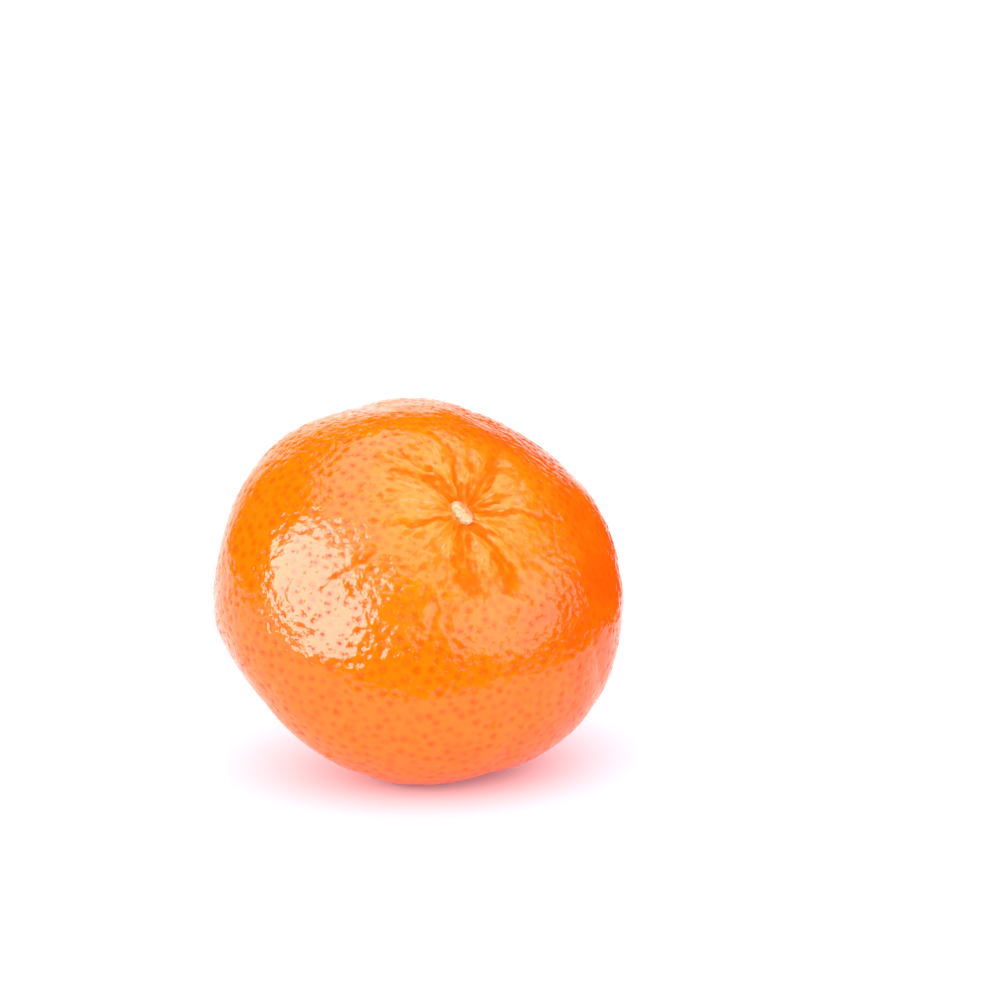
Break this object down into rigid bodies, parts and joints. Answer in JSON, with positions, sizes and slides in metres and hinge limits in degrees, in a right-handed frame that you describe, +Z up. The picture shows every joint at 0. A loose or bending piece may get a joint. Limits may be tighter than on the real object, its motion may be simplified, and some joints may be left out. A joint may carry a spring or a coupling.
{
  "type": "mandarin",
  "caption": "Whole mandarin, a slightly flattened orange citrus fruit with a dimpled stem end and a dried stem button, lying on a small flat spot.",
  "frame": {"origin": "on the ground, under the middle of the fruit's box", "axes": "+Z up from the ground that the fruit rests on, +X to the right and +Y to the back, seen from the front; the stem end leans forward and up, a little to the right"},
  "size_m": [0.062, 0.0568, 0.0544],
  "materials": {
    "peel": "waxy glossy orange citrus peel with darker oil glands and fine pits",
    "stem_wood": "matte pale dried woody stem scar, granular"
  },
  "bodies": {
    "root": {"fruit": "peel", "stem_button": "stem_wood"}
  },
  "joints": []
}
